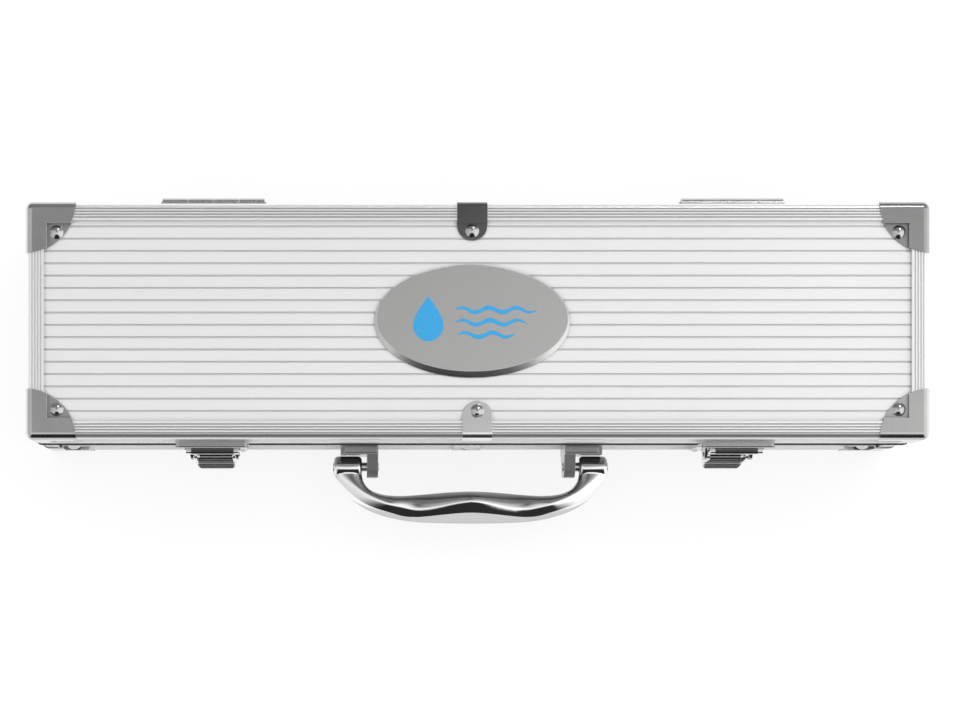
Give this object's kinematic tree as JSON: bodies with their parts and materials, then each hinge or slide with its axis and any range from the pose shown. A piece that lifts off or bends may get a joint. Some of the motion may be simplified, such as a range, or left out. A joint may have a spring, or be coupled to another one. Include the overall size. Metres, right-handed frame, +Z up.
{
  "type": "water test kit",
  "caption": "Slim aluminium-framed carry case of a water test kit, with hinged lid, draw latches and swing handle, holding reagent bottles, a comparator and a meter in foam.",
  "frame": {"origin": "centre of the whole object's footprint, on the surface the closed case rests on", "axes": "+X along the case's length, to the right seen from the front; -Y towards the front, where the handle and latches are; +Z up"},
  "size_m": [0.38, 0.1409, 0.08],
  "materials": {
    "panel_aluminium": "satin",
    "profile_aluminium": "satin",
    "guard_steel": "satin",
    "rivet_steel": "gloss",
    "plate_steel": "satin",
    "emblem_enamel": "gloss",
    "hinge_steel": "satin",
    "pin_steel": "satin",
    "latch_chrome": "polished",
    "handle_chrome": "polished",
    "foam": "matte",
    "bottle_plastic": "satin",
    "label_paper": "satin",
    "cap_red": "satin",
    "cap_yellow": "satin",
    "cap_blue": "satin",
    "cap_green": "satin",
    "clear_acrylic": "gloss",
    "scale_print": "satin",
    "stopper_black": "matte",
    "meter_shell": "satin",
    "meter_cap_plastic": "satin",
    "button_rubber": "matte",
    "electrode_steel": "satin",
    "rod_glass": "gloss"
  },
  "bodies": {
    "base": {"base_corner_guards": "guard_steel", "base_corner_posts": "profile_aluminium", "base_edge_clamps": "guard_steel", "base_edge_frame": "profile_aluminium", "base_end_walls": "panel_aluminium", "base_front_wall": "panel_aluminium", "base_hinge_leaves": "hinge_steel", "base_panel": "panel_aluminium", "base_rear_wall": "panel_aluminium", "base_rim_profile": "profile_aluminium", "base_rivets": "rivet_steel", "bottle_labels": "label_paper", "comparator_body": "clear_acrylic", "comparator_scale_strips": "scale_print", "dropper_tips": "bottle_plastic", "foam_insert": "foam", "handle_brackets": "handle_chrome", "handle_pins": "pin_steel", "hinge_pins": "pin_steel", "latch_base_plates": "latch_chrome", "latch_lever_pins": "pin_steel", "meter_batteries": "electrode_steel", "meter_body": "meter_shell", "meter_display": "clear_acrylic", "meter_electrodes": "electrode_steel", "reagent_bottles": "bottle_plastic", "rim_seal": "button_rubber", "stirring_rod": "rod_glass"},
    "lid": {"latch_keepers": "latch_chrome", "lid_corner_guards": "guard_steel", "lid_corner_posts": "profile_aluminium", "lid_edge_clamps": "guard_steel", "lid_edge_frame": "profile_aluminium", "lid_end_walls": "panel_aluminium", "lid_foam": "foam", "lid_front_wall": "panel_aluminium", "lid_hinge_leaves": "hinge_steel", "lid_panel": "panel_aluminium", "lid_rear_wall": "panel_aluminium", "lid_rim_profile": "profile_aluminium", "lid_rivets": "rivet_steel", "name_plate": "plate_steel", "name_plate_emblem": "emblem_enamel"},
    "handle": {"handle": "handle_chrome"},
    "left_lever": {"left_latch_lever": "latch_chrome", "left_latch_link_pin": "pin_steel"},
    "left_link": {"left_latch_link": "latch_chrome"},
    "right_lever": {"right_latch_lever": "latch_chrome", "right_latch_link_pin": "pin_steel"},
    "right_link": {"right_latch_link": "latch_chrome"},
    "reagent_cap_1": {"reagent_cap_1": "cap_red"},
    "reagent_cap_2": {"reagent_cap_2": "cap_yellow"},
    "reagent_cap_3": {"reagent_cap_3": "cap_blue"},
    "reagent_cap_4": {"reagent_cap_4": "cap_green"},
    "comparator_cap_1": {"comparator_cell_cap_1": "stopper_black"},
    "comparator_cap_2": {"comparator_cell_cap_2": "stopper_black"},
    "probe_cap": {"meter_probe_cap": "meter_cap_plastic"},
    "battery_cap": {"meter_battery_cap": "stopper_black"},
    "power_button": {"meter_power_button": "button_rubber"},
    "hold_button": {"meter_hold_button": "button_rubber"}
  },
  "joints": [
    {"name": "lid_hinge", "type": "hinge", "parent": "base", "child": "lid", "pos_m": [0, 0.06765, 0.045], "axis": [-1, 0, 0], "range_deg": [0, 180]},
    {"name": "handle_swing", "type": "hinge", "parent": "base", "child": "handle", "pos_m": [0, -0.0454, 0.028], "axis": [-1, 0, 0], "range_deg": [-80, 80]},
    {"name": "left_latch_open", "type": "hinge", "parent": "base", "child": "left_lever", "pos_m": [-0.1125, -0.04015, 0.034], "axis": [-1, 0, 0], "range_deg": [0, 95]},
    {"name": "left_link_swing", "type": "hinge", "parent": "left_lever", "child": "left_link", "pos_m": [-0.1125, -0.03935, 0.027], "axis": [1, 0, 0], "range_deg": [0, 105]},
    {"name": "right_latch_open", "type": "hinge", "parent": "base", "child": "right_lever", "pos_m": [0.1125, -0.04015, 0.034], "axis": [-1, 0, 0], "range_deg": [0, 95]},
    {"name": "right_link_swing", "type": "hinge", "parent": "right_lever", "child": "right_link", "pos_m": [0.1125, -0.03935, 0.027], "axis": [1, 0, 0], "range_deg": [0, 105]},
    {"name": "cap_1_unscrew", "type": "hinge", "parent": "base", "child": "reagent_cap_1", "pos_m": [-0.165, 0.03825, 0.031], "axis": [0, 1, 0], "range_deg": [0, 360]},
    {"name": "cap_2_unscrew", "type": "hinge", "parent": "base", "child": "reagent_cap_2", "pos_m": [-0.135, 0.03825, 0.031], "axis": [0, 1, 0], "range_deg": [0, 360]},
    {"name": "cap_3_unscrew", "type": "hinge", "parent": "base", "child": "reagent_cap_3", "pos_m": [-0.105, 0.03825, 0.031], "axis": [0, 1, 0], "range_deg": [0, 360]},
    {"name": "cap_4_unscrew", "type": "hinge", "parent": "base", "child": "reagent_cap_4", "pos_m": [-0.075, 0.03825, 0.031], "axis": [0, 1, 0], "range_deg": [0, 360]},
    {"name": "comparator_cap_1_pull", "type": "slide", "parent": "base", "child": "comparator_cap_1", "axis": [1, 0, 0], "range_m": [0, 0.008]},
    {"name": "comparator_cap_2_pull", "type": "slide", "parent": "base", "child": "comparator_cap_2", "axis": [1, 0, 0], "range_m": [0, 0.008]},
    {"name": "probe_cap_pull", "type": "slide", "parent": "base", "child": "probe_cap", "axis": [1, 0, 0], "range_m": [0, 0.025]},
    {"name": "battery_cap_twist", "type": "hinge", "parent": "base", "child": "battery_cap", "pos_m": [-0.04, 0.03675, 0.029], "axis": [1, 0, 0], "range_deg": [0, 90]},
    {"name": "power_button_press", "type": "slide", "parent": "base", "child": "power_button", "axis": [0, 0, -1], "range_m": [0, 0.0006]},
    {"name": "hold_button_press", "type": "slide", "parent": "base", "child": "hold_button", "axis": [0, 0, -1], "range_m": [0, 0.0006]}
  ],
  "couplings": [
    {"joint": "left_link_swing", "follows": "left_latch_open", "ratio": 1.1},
    {"joint": "right_link_swing", "follows": "right_latch_open", "ratio": 1.1}
  ]
}
